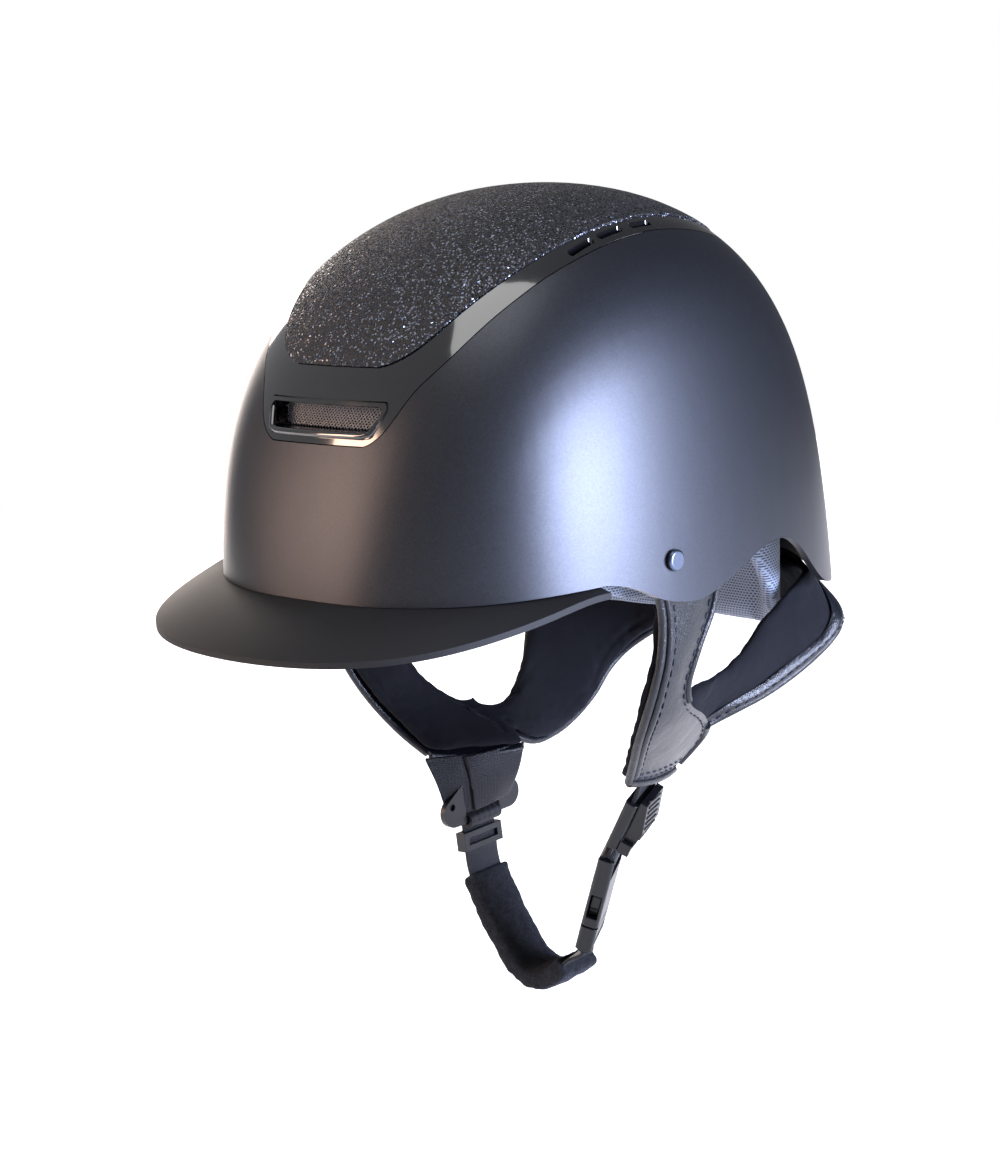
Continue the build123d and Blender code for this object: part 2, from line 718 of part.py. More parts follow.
def make_chin_strap():
    path = chin_path()
    stations = [((x, strap_y, z), y_across(webbing_width)) for x, z in path]
    end = male_bar_point() - buckle_up * (loop_radius + webbing_thickness * 0.6)
    middle_x = (path[-1][0] + end.X) / 2
    middle_z = (path[-1][1] + end.Z) / 2
    half_turn = (Vector(0, 1, 0) + buckle_across).normalized() * webbing_width
    stations.append(((middle_x, strap_y, middle_z), tuple(half_turn)))
    stations.append((tuple(end), tuple(buckle_across * webbing_width)))
    webbing = strap(stations, webbing_thickness)
    webbing = webbing + ring(swing_axis, Vector(0, 1, 0), webbing_width, loop_radius)
    webbing = webbing + ring(male_bar_point(), buckle_across, webbing_width, loop_radius)
    pad_path = path[5:]
    pad = strap([((x, strap_y, z), y_across(chin_pad_width)) for x, z in pad_path], chin_pad_thickness)
    bore = strap([((x, strap_y, z), y_across(webbing_width + 2 * strap_clearance)) for x, z in path],
                 webbing_thickness + 3 * strap_clearance)
    pad = pad - bore
    slider = local_box(5.6, webbing_width + 5, -slider_length / 2, slider_length / 2)
    tunnel = local_box(webbing_thickness + 2 * strap_clearance, webbing_width + 2 * strap_clearance,
                       -20, 20)
    face_window = local_box(6, webbing_width - 1, -1.7, 1.7, x=3)
    slider = slider - tunnel - face_window
    tilt = math.degrees(math.atan2(0.3, 5.0))
    slider = Pos(-56.3, strap_y, -153) * (Rot(0, -tilt, 0) * slider)
    return {"chin_webbing": webbing, "chin_pad": pad, "strap_slider": slider}


def make_buckle():
    half = buckle_insertion / 2
    top = female_length - half
    female = local_box(buckle_width, buckle_thickness, -half, top)
    female = fillet(female.edges().filter_by(Axis.Z), 2.2)
    cavity = local_box(buckle_width - 5, buckle_thickness - 2.6, -half - 1, half + 4)
    windows = local_box(buckle_width + 4, buckle_thickness - 2.8, -half + 4.5, half + 2)
    female = female - cavity - windows
    female = female - local_box(webbing_width + 1, 20, top - 9.5, top + 1)
    female = female + local_box(buckle_width - 1, bar_size, top - bar_size, top)
    base_top = -half - 1
    base_low = base_top - male_length
    male = local_box(buckle_width, buckle_thickness, base_low, base_top)
    male = fillet(male.edges().filter_by(Axis.Z), 2.2)
    male = male - local_box(webbing_width + 1, 20, base_low - 1, base_low + bar_size + 4.2)
    male = male + local_box(buckle_width - 1, bar_size, base_low, base_low + bar_size)
    male = male + local_box(4.4, buckle_thickness - 4, base_top - 1, half)
    root_x = 7.2
    root_z = base_top - 0.6
    thick = buckle_thickness - 4
    nodes = {}
    for name, sign in (("front", -1), ("rear", 1)):
        socket = Pos(sign * root_x, 0, root_z) * (Rot(90, 0, 0) * Cylinder(2.0, thick + 0.6))
        male = male - socket
        root = Pos(sign * root_x, 0, root_z) * (Rot(90, 0, 0) * Cylinder(1.8, thick))
        stem = local_box(prong_width - 1.0, thick, root_z, half - 4, x=sign * root_x)
        barb = Pos(sign * (root_x + 0.1), 0, half - 6) * (Rot(90, 0, 0) * Cylinder(1.75, thick))
        tip = local_box(prong_width, thick, half - 6, half, x=sign * (root_x + 0.0))
        tip = fillet(tip.edges().filter_by(Axis.Y), 1.2)
        nodes["buckle_prong_" + name] = placed(buckle_plane, root + stem + barb + tip)
    nodes["buckle_female"] = placed(buckle_plane, female)
    nodes["buckle_male"] = placed(buckle_plane, male)
    return nodes


def make_adjuster():
    """Left side: webbing from the leather stem through a cam adjuster to the buckle's socket."""
    half = adjuster_length / 2
    body = local_box(adjuster_width, adjuster_thickness, -half, half)
    body = fillet(body.edges().filter_by(Axis.Z), 2.0)
    spare = 2 * strap_clearance + 0.4
    tunnel = local_box(webbing_width + spare, webbing_thickness + spare, -20, 20)
    body = body - tunnel
    lever_y = -(adjuster_thickness / 2 + 0.3)
    for sign in (-1, 1):
        ear = Pos(sign * (adjuster_width / 2 - 1), lever_y - 2.2, -half + 3) * Box(2, 5.4, 6)
        body = body + ear
    pin = Pos(0, lever_y - 2.6, -half + 3) * (Rot(0, 90, 0) * Cylinder(lever_pin_radius, adjuster_width))
    body = body + pin
    width = adjuster_width - 4.6
    side = Wire.make_polygon([Vector(0, lever_y, -half + 2.2), Vector(0, lever_y - 4.6, -half + 1.6),
                              Vector(0, lever_y - lever_thickness - 1.5, 0),
                              Vector(0, lever_y - 3.4, half + 2), Vector(0, lever_y, half + 2)])
    lever = Pos(-width / 2, 0, 0) * extrude(Face(side), amount=width, dir=(1, 0, 0))
    pin_hole = Rot(0, 90, 0) * Cylinder(lever_pin_radius + running_clearance, 40)
    lever = lever - Pos(0, lever_y - 2.6, -half + 3) * pin_hole
    female_bar = buckle_middle + buckle_up * (female_length - buckle_insertion / 2 - bar_size / 2)
    end = female_bar + buckle_up * (loop_radius + webbing_thickness * 0.6)
    stem_across = Vector(-15, 46, -12).normalized() * webbing_width
    across = adjuster_across * webbing_width
    a = adjuster_middle
    stations = [((54, 9, -103.5), tuple(stem_across)),
                (tuple(a + adjuster_up * (half + 1)), tuple(across)),
                (tuple(a + adjuster_up * (half / 2)), tuple(across)),
                (tuple(a), tuple(across)),
                (tuple(a - adjuster_up * (half / 2)), tuple(across)),
                (tuple(a - adjuster_up * (half + 1)), tuple(across)),
                (tuple(end), tuple(buckle_across * webbing_width))]
    loop = ring(female_bar, buckle_across, webbing_width, loop_radius)
    webbing = strap(stations, webbing_thickness) + loop
    return {"cam_adjuster": placed(adjuster_plane, body), "cam_lever": placed(adjuster_plane, lever),
            "buckle_webbing": webbing}


def main():
    nodes = {}
    nodes.update(make_shell_parts())
    nodes.update(make_vent())
    nodes.update(make_visor())
    nodes.update(make_liner_parts())
    nodes.update(make_harness("left", LEFT, left_band_start))
    nodes.update(make_harness("right", RIGHT, right_band_start))
    nodes.update(make_rivets())
    nodes.update(make_cradle())
    nodes.update(make_v_side())
    nodes.update(make_chin_strap())
    nodes.update(make_buckle())
    nodes.update(make_adjuster())
    os.makedirs("parts", exist_ok=True)
    for name, shape in nodes.items():
        solids = shape.solids()
        print(name, len(solids), round(sum(s.volume for s in solids)))
        export_step(shape if len(solids) != 1 else solids[0], f"parts/{name}.step")


main()
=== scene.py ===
import math
import bmesh
import bpy
from mathutils import Matrix, Vector, noise
from mathutils.bvhtree import BVHTree
from mathutils.kdtree import KDTree


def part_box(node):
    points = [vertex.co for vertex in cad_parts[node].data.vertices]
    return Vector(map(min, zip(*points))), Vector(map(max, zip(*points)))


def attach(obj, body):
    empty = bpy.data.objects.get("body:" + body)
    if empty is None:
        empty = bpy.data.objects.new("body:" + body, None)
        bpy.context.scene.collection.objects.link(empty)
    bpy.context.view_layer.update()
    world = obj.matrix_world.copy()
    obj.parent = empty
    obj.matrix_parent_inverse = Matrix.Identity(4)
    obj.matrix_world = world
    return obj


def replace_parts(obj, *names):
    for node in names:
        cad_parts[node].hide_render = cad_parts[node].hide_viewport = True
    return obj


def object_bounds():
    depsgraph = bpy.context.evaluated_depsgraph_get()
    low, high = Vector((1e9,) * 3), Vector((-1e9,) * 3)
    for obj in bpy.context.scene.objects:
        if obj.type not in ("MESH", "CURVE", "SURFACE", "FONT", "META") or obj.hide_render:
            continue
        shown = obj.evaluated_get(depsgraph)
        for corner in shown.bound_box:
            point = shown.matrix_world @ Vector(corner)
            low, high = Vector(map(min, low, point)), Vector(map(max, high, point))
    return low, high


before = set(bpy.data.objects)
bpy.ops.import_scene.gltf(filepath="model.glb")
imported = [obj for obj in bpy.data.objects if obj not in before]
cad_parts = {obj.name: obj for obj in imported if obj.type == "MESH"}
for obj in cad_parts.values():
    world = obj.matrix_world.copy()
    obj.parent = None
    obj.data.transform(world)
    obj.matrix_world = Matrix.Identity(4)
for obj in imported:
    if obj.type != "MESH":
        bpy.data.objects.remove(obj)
cad_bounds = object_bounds()


# ---- Camera ----
# A long studio lens a little over a metre away, in front of the wearer's left side.
# It is tilted slightly about its own axis and looks below the crown.

camera_azimuth = math.radians(44.0)
camera_elevation = math.radians(9.343)
camera_roll = math.radians(-4.593)
camera_distance = 1.1
look_left = math.radians(0.495)
look_down = math.radians(3.25)
camera_target = Vector((0, 0, 0.044))

outward = Vector((math.sin(camera_azimuth) * math.cos(camera_elevation),
                  -math.cos(camera_azimuth) * math.cos(camera_elevation),
                  math.sin(camera_elevation)))
level_right = Vector((0, 0, 1)).cross(outward).normalized()
level_up = outward.cross(level_right)
camera_right = level_right * math.cos(camera_roll) + level_up * math.sin(camera_roll)
camera_up = outward.cross(camera_right)
camera_back = (outward + camera_right * math.tan(look_left) + camera_up * math.tan(look_down)).normalized()
camera_side = camera_up.cross(camera_back).normalized()
camera_top = camera_back.cross(camera_side)

camera_data = bpy.data.cameras.new("camera")
camera_data.lens = 78.156
camera_data.sensor_width = 36
camera = bpy.data.objects.new("camera", camera_data)
camera.matrix_world = Matrix((camera_side, camera_top, camera_back)).transposed().to_4x4()
camera.location = camera_target + outward * camera_distance
bpy.context.scene.collection.objects.link(camera)
bpy.context.scene.camera = camera


# ---- Studio ----
# A pale floor under the hanging strap and a pale surround that is dimmer behind the helmet.
# A cool softbox stands at the wearer's left, a small warm panel in front, and one behind lights the edge.


def linear(hex_colour):
    """Linear colour of an sRGB hex value such as "26282b"."""
    channels = [int(hex_colour[i:i + 2], 16) / 255 for i in (0, 2, 4)]
    return tuple(c / 12.92 if c <= 0.04045 else ((c + 0.055) / 1.055) ** 2.4 for c in channels) + (1.0,)


def add_node(tree, kind, inputs=None, **settings):
    """Adds a node. Each input is a value, or the socket that it is linked from."""
    node = tree.nodes.new("ShaderNode" + kind)
    for name, value in settings.items():
        setattr(node, name, value)
    for name, value in (inputs or {}).items():
        if isinstance(value, bpy.types.NodeSocket):
            tree.links.new(value, node.inputs[name])
        else:
            node.inputs[name].default_value = value
    return node


def new_material(name, colour, roughness, **inputs):
    """A material with one Principled shader, returned with its tree and that shader."""
    material = bpy.data.materials.new(name)
    material.use_nodes = True
    tree = material.node_tree
    tree.nodes.clear()
    values = {"Base Color": linear(colour), "Roughness": roughness}
    shader = add_node(tree, "BsdfPrincipled", {**values, **inputs})
    add_node(tree, "OutputMaterial", {"Surface": shader.outputs[0]})
    return material, tree, shader


def new_object(name, mesh):
    piece = bpy.data.objects.new(name, mesh)
    bpy.context.scene.collection.objects.link(piece)
    return piece


def soft_light(name, place, aim, width, height, power, colour):
    data = bpy.data.lights.new(name, "AREA")
    data.shape = "RECTANGLE"
    data.size = width
    data.size_y = height
    data.energy = power
    data.color = linear(colour)[:3]
    light = new_object(name, data)
    light.location = place
    light.rotation_euler = (Vector(aim) - Vector(place)).to_track_quat("-Z", "Y").to_euler()
    return light


floor_gap = 0.004
floor_radius = 1.5
floor_bm = bmesh.new()
bmesh.ops.create_circle(floor_bm, cap_ends=True, segments=64, radius=floor_radius)
bmesh.ops.translate(floor_bm, verts=floor_bm.verts, vec=(0, 0, cad_bounds[0][2] - floor_gap))
floor_mesh = bpy.data.meshes.new("floor")
floor_bm.to_mesh(floor_mesh)
floor_bm.free()
floor = new_object("floor", floor_mesh)
floor_paint, tree, shader = new_material(
    "matt white studio floor", "f4f4f5", 0.9, **{
        "Emission Color": linear("ffffff"), "Emission Strength": 0.7, "Specular IOR Level": 0.1})
floor_mesh.materials.append(floor_paint)

world = bpy.data.worlds.new("studio")
world.use_nodes = True
world.node_tree.nodes.clear()
seen_surround = add_node(world.node_tree, "Background", {"Color": linear("ffffff"), "Strength": 1.0})
seen_way = add_node(world.node_tree, "TexCoord").outputs["Generated"]
behind = add_node(world.node_tree, "VectorMath", {0: seen_way, 1: (0.35, 0.94, 0)}, operation="DOT_PRODUCT")
dimmed = add_node(world.node_tree, "MapRange", {
    "Value": behind.outputs["Value"], "From Min": -0.1, "From Max": 0.8, "To Min": 0.52, "To Max": 0.1})
lit_surround = add_node(world.node_tree, "Background", {
    "Color": linear("f1f2f8"), "Strength": dimmed.outputs["Result"]})
seen_ray = add_node(world.node_tree, "LightPath").outputs["Is Camera Ray"]
surround = add_node(world.node_tree, "MixShader", {
    0: seen_ray, 1: lit_surround.outputs[0], 2: seen_surround.outputs[0]})
add_node(world.node_tree, "OutputWorld", {"Surface": surround.outputs[0]})
bpy.context.scene.world = world
bpy.context.scene.view_settings.view_transform = "Standard"

helmet_middle = (0, 0, 0.02)
soft_light("cool_softbox", (2.02, 0.4, 0.1), helmet_middle, 1.05, 1.2, 250, "d3deff")
soft_light("warm_panel", (-1.1, -1.35, 0.45), helmet_middle, 0.34, 1.0, 20, "ffd6bc")
soft_light("edge_softbox", (-1.7, 0.75, 0.2), helmet_middle, 0.8, 1.4, 22, "fff0e6")
soft_light("top_softbox", (0.2, -0.4, 1.9), helmet_middle, 1.4, 1.0, 16, "ffffff")


# ---- Outer shell ----
# Injection-moulded ABS, 3.6 mm thick, cut away in an arch over each ear.
# It is sprayed with a graphite lacquer whose fine metal flake gives a soft, wide highlight.

shell_lacquer, tree, shader = new_material(
    "satin metallic lacquer on moulded ABS", "303237", 0.4, Metallic=0.9, **{
        "Coat Weight": 0.12, "Coat Roughness": 0.35})
place = add_node(tree, "TexCoord").outputs["Object"]
flake_size = 0.0005
flakes = add_node(tree, "TexVoronoi", {"Vector": place, "Scale": 1 / flake_size})
flake_tone = add_node(tree, "ValToRGB", {"Fac": flakes.outputs["Color"]})
flake_tone.color_ramp.elements[0].color = linear("2d2e32")
flake_tone.color_ramp.elements[1].color = linear("34363b")
tree.links.new(flake_tone.outputs["Color"], shader.inputs["Base Color"])
peel = add_node(tree, "TexNoise", {"Vector": place, "Scale": 900.0, "Detail": 2.0})
peel_bump = add_node(tree, "Bump", {"Height": peel.outputs["Fac"], "Strength": 0.03, "Distance": 0.0001})
tree.links.new(peel_bump.outputs["Normal"], shader.inputs["Normal"])


def finish(node, material):
    """Gives a CAD node's every material slot this finish."""
    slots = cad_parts[node].material_slots
    for material_slot in slots:
        material_slot.material = material
    if not slots:
        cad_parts[node].data.materials.append(material)


finish("outer_shell", shell_lacquer)


# ---- Crown panel and front vent ----
# A second moulding let into the crown, polished black, with three cooling slots on each side.
# The vent's frame is part of the same glossy family. Behind it sits a woven wire screen.

gloss_black, tree, shader = new_material(
    "polished black moulded ABS", "08080a", 0.09, IOR=1.53, **{"Coat Weight": 0.8, "Coat Roughness": 0.04})
place = add_node(tree, "TexCoord").outputs["Object"]
swirl = add_node(tree, "TexNoise", {"Vector": place, "Scale": 60.0, "Detail": 3.0})
gloss_spread = add_node(tree, "MapRange", {"Value": swirl.outputs["Fac"], "To Min": 0.06, "To Max": 0.14})
tree.links.new(gloss_spread.outputs["Result"], shader.inputs["Roughness"])
finish("top_panel", gloss_black)
finish("vent_bezel", gloss_black)

wire_black, tree, shader = new_material("blackened steel wire", "8a8b90", 0.38, Metallic=0.9)
place = add_node(tree, "TexCoord").outputs["Object"]
wire_wear = add_node(tree, "TexNoise", {"Vector": place, "Scale": 1500.0})
wire_tone = add_node(tree, "MapRange", {"Value": wire_wear.outputs["Fac"], "To Min": 0.3, "To Max": 0.5})
tree.links.new(wire_tone.outputs["Result"], shader.inputs["Roughness"])

wire_pitch = 0.0013
wire_width = 0.0005
wire_wave = 0.0002
wire_step = 0.00065


def tree_of(node):
    """Search tree of a CAD node's surface."""
    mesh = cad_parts[node].data
    return BVHTree.FromPolygons([v.co for v in mesh.vertices], [p.vertices for p in mesh.polygons])


def tube_mesh(name, lines, radius, rounds=4, cyclic=False):
    """One mesh of round tubes, each along a line of points."""
    curve = bpy.data.curves.new(name, "CURVE")
    curve.dimensions = "3D"
    curve.bevel_depth = radius
    curve.bevel_resolution = rounds
    curve.use_fill_caps = not cyclic
    for points in lines:
        spline = curve.splines.new("POLY")
        spline.points.add(len(points) - 1)
        spline.use_cyclic_u = cyclic
        for point, place in zip(spline.points, points):
            point.co = (*place, 1.0)
    carrier = new_object(name, curve)
    mesh = bpy.data.meshes.new_from_object(carrier.evaluated_get(bpy.context.evaluated_depsgraph_get()))
    bpy.data.objects.remove(carrier)
    mesh.name = name
    for polygon in mesh.polygons:
        polygon.use_smooth = True
    return mesh


grille_low, grille_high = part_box("vent_grille")
grille_surface = tree_of("vent_grille")
screen_lines = []
for lean in (1, -1):
    span = (grille_high.x - grille_low.x) + (grille_high.z - grille_low.z)
    for k in range(int(span / (wire_pitch * math.sqrt(2)))):
        start_x = grille_low.x - (grille_high.z - grille_low.z) + k * wire_pitch * math.sqrt(2)
        if lean < 0:
            start_x = -start_x
        line = []
        steps = int((grille_high.z - grille_low.z) / wire_step)
        for i in range(steps + 1):
            z = grille_low.z + (grille_high.z - grille_low.z) * i / steps
            x = start_x + lean * (z - grille_low.z)
            hit = grille_surface.ray_cast(Vector((x, grille_low.y - 0.01, z)), Vector((0, 1, 0)))
            if hit[0] is not None and hit[1].y < -0.2:
                over = 1 if (i + k) % 2 else -1
                line.append(hit[0] + Vector((0, lean * over * wire_wave, 0)))
        if len(line) > 2:
            screen_lines.append(line)
vent_screen = new_object("vent_screen", tube_mesh("vent_screen", screen_lines, wire_width / 2, rounds=1))
vent_screen.data.materials.append(wire_black)
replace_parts(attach(vent_screen, "helmet"), "vent_grille")


vent_top_half = 0.0355
vent_bottom_half = 0.029
vent_top_z = 0.0771
vent_bottom_z = 0.0652
lip_radius = 0.0015
bezel_surface = tree_of("outer_shell")
panel_surface = tree_of("top_panel")
corners = [(-vent_top_half, vent_top_z), (-vent_bottom_half, vent_bottom_z),
           (vent_bottom_half, vent_bottom_z), (vent_top_half, vent_top_z)]
lip_line = []
lip_steps = 16
for (xa, za), (xb, zb) in zip(corners, corners[1:] + corners[:1]):
    for i in range(1, lip_steps):
        x = xa + (xb - xa) * i / lip_steps
        z = za + (zb - za) * i / lip_steps
        start = Vector((x * 1.06, -0.3, z + (z - 0.0712) * 0.35))
        hits = [surface.ray_cast(start, Vector((0, 1, 0)))[0] for surface in (bezel_surface, panel_surface)]
        front = min(hit.y for hit in hits if hit is not None)
        lip_line.append(Vector((x, front + 0.0006, z)))
vent_lip = new_object("vent_lip", tube_mesh("vent_lip", [lip_line], lip_radius, rounds=6, cyclic=True))
vent_lip.data.materials.append(gloss_black)
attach(vent_lip, "helmet")


# ---- Glitter inlay ----
# Fabric coated with black glitter, laminated on a thin moulding whose edge rolls down to the panel.
# Each flake is a tiny tilted mirror, so only some of them catch a light.

glitter_fabric, tree, shader = new_material("glitter-coated fabric, black", "0b0b0d", 0.5)
place = add_node(tree, "TexCoord").outputs["Object"]
glitter_size = 0.0006
cells = add_node(tree, "TexVoronoi", {"Vector": place, "Scale": 1 / glitter_size})
tilt = add_node(tree, "VectorMath", {0: cells.outputs["Color"], 1: (0.5, 0.5, 0.5)}, operation="SUBTRACT")
tilt_scaled = add_node(tree, "VectorMath", {0: tilt.outputs[0], "Scale": 1.2}, operation="SCALE")
face_normal = add_node(tree, "NewGeometry").outputs["Normal"]
tilted = add_node(tree, "VectorMath", {0: face_normal, 1: tilt_scaled.outputs[0]}, operation="ADD")
tilted_unit = add_node(tree, "VectorMath", {0: tilted.outputs[0]}, operation="NORMALIZE")
tree.links.new(tilted_unit.outputs[0], shader.inputs["Normal"])
cell_value = add_node(tree, "SeparateColor", {"Color": cells.outputs["Color"]})
is_flake = add_node(tree, "Math", {0: cell_value.outputs["Red"], 1: 0.6}, operation="GREATER_THAN")
flake_colour = add_node(tree, "ValToRGB", {"Fac": is_flake.outputs[0]})
flake_colour.color_ramp.elements[0].color = linear("0b0b0d")
flake_colour.color_ramp.elements[1].color = linear("4b4e57")
tree.links.new(flake_colour.outputs["Color"], shader.inputs["Base Color"])
tree.links.new(is_flake.outputs[0], shader.inputs["Metallic"])
flake_rough = add_node(tree, "MapRange", {"Value": is_flake.outputs[0], "To Min": 0.7, "To Max": 0.22})
tree.links.new(flake_rough.outputs["Result"], shader.inputs["Roughness"])
finish("glitter_inlay", glitter_fabric)


# ---- Visor ----
# A flexible peak moulded in polyurethane and coated with soft rubber paint.
# It is dead matt with a fine grain, and slightly greyer where light rakes across it.

rubber_coat, tree, shader = new_material("soft-touch rubber coating", "0e0e10", 0.62, **{
    "Specular IOR Level": 0.25})
place = add_node(tree, "TexCoord").outputs["Object"]
grain_size = 0.0005
grain = add_node(tree, "TexNoise", {"Vector": place, "Scale": 1 / grain_size, "Detail": 3.0})
grain_bump = add_node(tree, "Bump", {"Height": grain.outputs["Fac"], "Strength": 0.25, "Distance": 0.0002})
tree.links.new(grain_bump.outputs["Normal"], shader.inputs["Normal"])
cloud = add_node(tree, "TexNoise", {"Vector": place, "Scale": 25.0, "Detail": 2.0})
cloud_tone = add_node(tree, "ValToRGB", {"Fac": cloud.outputs["Fac"]})
cloud_tone.color_ramp.elements[0].color = linear("0c0c0e")
cloud_tone.color_ramp.elements[1].color = linear("121214")
tree.links.new(cloud_tone.outputs["Color"], shader.inputs["Base Color"])
finish("visor", rubber_coat)


# ---- Liner ----
# Expanded polystyrene moulded in black, 20 mm or more thick, which takes the blow.
# Its surface shows the steamed beads, 3 mm across, pressed flat against each other.

bead_foam, tree, shader = new_material("expanded polystyrene, black", "1d1e20", 0.8)
place = add_node(tree, "TexCoord").outputs["Object"]
bead_size = 0.003
beads = add_node(tree, "TexVoronoi", {"Vector": place, "Scale": 1 / bead_size})
bead_edges = add_node(tree, "TexVoronoi", {"Vector": place, "Scale": 1 / bead_size},
                      feature="DISTANCE_TO_EDGE")
bead_tone = add_node(tree, "ValToRGB", {"Fac": beads.outputs["Color"]})
bead_tone.color_ramp.elements[0].color = linear("17181a")
bead_tone.color_ramp.elements[1].color = linear("28292c")
tree.links.new(bead_tone.outputs["Color"], shader.inputs["Base Color"])
bead_bump = add_node(tree, "Bump", {
    "Height": bead_edges.outputs["Distance"], "Strength": 0.5, "Distance": 0.0004})
tree.links.new(bead_bump.outputs["Normal"], shader.inputs["Normal"])
finish("eps_liner", bead_foam)


# ---- Comfort pads ----
# Foam wrapped in a slate-grey mesh knit: a brow band and a crown pad, held in the liner by hook tape.
# Each is sewn shut and a little swollen. The nape pad, made further down, is of the same knit.

knit_mesh, tree, shader = new_material("slate mesh knit", "7d889e", 0.8, **{"Sheen Weight": 0.3})
knit_uv = add_node(tree, "UVMap", uv_map="cloth").outputs["UV"]
knit_row = 0.0011
# Painted shade: the holes, low in the bump, are coloured a much darker slate than the raised yarn.
knit_holes_and_shade = add_node(tree, "TexBrick", {
    "Vector": knit_uv, "Scale": 1 / knit_row, "Color1": linear("2c323e"), "Color2": linear("39414f"),
    "Mortar": linear("8b97ae"), "Mortar Size": 0.34, "Mortar Smooth": 0.6, "Brick Width": 1.5,
    "Row Height": 1.15})
tree.links.new(knit_holes_and_shade.outputs["Color"], shader.inputs["Base Color"])
knit_bump = add_node(tree, "Bump", {"Height": knit_holes_and_shade.outputs["Fac"], "Strength": 0.8, "Distance": 0.0005})
tree.links.new(knit_bump.outputs["Normal"], shader.inputs["Normal"])


def merged_copy(name, *nodes):
    """New object with the shape of CAD nodes, their loose triangles joined into one skin."""
    bm = bmesh.new()
    for node in nodes:
        bm.from_mesh(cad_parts[node].data)
    bmesh.ops.remove_doubles(bm, verts=bm.verts, dist=1e-6)
    for edge in bm.edges:
        edge.smooth = edge.calc_face_angle(0) < math.radians(32)
    for face in bm.faces:
        face.smooth = True
        face.material_index = 0
    mesh = bpy.data.meshes.new(name)
    bm.to_mesh(mesh)
    bm.free()
    return new_object(name, mesh)


def settle(piece):
    """Applies a piece's modifiers to its mesh."""
    shape = piece.evaluated_get(bpy.context.evaluated_depsgraph_get())
    mesh = bpy.data.meshes.new_from_object(shape)
    mesh.name = piece.name
    piece.modifiers.clear()
    piece.data = mesh
    for polygon in mesh.polygons:
        polygon.use_smooth = True


def stuff(piece, cell, slack, swell, rounds=6):
    """Makes a sewn pad of a closed shape: drawn in by its seams, then swollen by cloth under pressure."""
    even = piece.modifiers.new("even", "REMESH")
    even.mode = "VOXEL"
    even.voxel_size = cell
    calm = piece.modifiers.new("calm", "SMOOTH")
    calm.factor = 0.5
    calm.iterations = rounds
    settle(piece)
    shift(piece, lambda place: -slack)
    start = [v.co.copy() for v in piece.data.vertices]
    cloth = piece.modifiers.new("cloth", "CLOTH")
    cloth.settings.use_pressure = True
    cloth.settings.uniform_pressure_force = 4.0
    cloth.settings.effector_weights.gravity = 0
    settled_frame = 12
    for step in range(1, settled_frame + 1):
        bpy.context.scene.frame_set(step)
    settle(piece)
    for vertex, place in zip(piece.data.vertices, start):
        moved = vertex.co - place
        if moved.length > swell:
            vertex.co = place + moved * (swell / moved.length)
    bpy.context.scene.frame_set(1)
    finer = piece.modifiers.new("finer", "SUBSURF")
    finer.levels = 1
    finer.render_levels = 1
    settle(piece)
    return piece


def shift(piece, height):
    """Moves each point of a mesh along its normal by the height that a function gives."""
    normals = [vertex.normal.copy() for vertex in piece.data.vertices]
    for vertex, normal in zip(piece.data.vertices, normals):
        vertex.co += normal * height(vertex.co)


def lay_cloth_round(piece, radius):
    """Cloth coordinates in metres: round the head, and up."""
    layer = piece.data.uv_layers.new(name="cloth")
    vertices = piece.data.vertices
    for polygon in piece.data.polygons:
        angles = [math.atan2(vertices[i].co.x, vertices[i].co.y) for i in polygon.vertices]
        wraps = max(angles) - min(angles) > math.pi
        for corner, angle in zip(polygon.loop_indices, angles):
            if wraps and angle < 0:
                angle += 2 * math.pi
            place = vertices[piece.data.loops[corner].vertex_index].co
            layer.data[corner].uv = (angle * radius, place.z)


def lay_cloth_flat(piece):
    """Cloth coordinates in metres, straight down on a pad that lies flat."""
    layer = piece.data.uv_layers.new(name="cloth")
    for loop, corner in zip(piece.data.loops, layer.data):
        place = piece.data.vertices[loop.vertex_index].co
        corner.uv = (place.x, place.y)


pad_radius = 0.1
pad_draw = 0.0006
pad_swell = 0.0016
brow_cell = 0.0032
crown_cell = 0.0028
brow_pad = stuff(merged_copy("brow_pad_knit", "brow_pad"), brow_cell, pad_draw, pad_swell)
lay_cloth_round(brow_pad, pad_radius)
brow_pad.data.materials.append(knit_mesh)
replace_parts(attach(brow_pad, "helmet"), "brow_pad")
crown_pad = stuff(merged_copy("crown_pad_knit", "crown_pad"), crown_cell, pad_draw, pad_swell)
lay_cloth_flat(crown_pad)
crown_pad.data.materials.append(knit_mesh)
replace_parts(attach(crown_pad, "helmet"), "crown_pad")


# ---- Harness leather ----
# Two hides per side, 2 mm thick, cut as an arm that hangs from the rivet and a band round the nape.
# The edges are rolled over piping cord, and waxed thread runs beside each of them.

leather_depth = 0.002
piping_radius = 0.0018
stitch_length = 0.0034
stitch_gap = 0.0014
stitch_radius = 0.00042
inside_head = Vector((0, 0.03, -0.06))

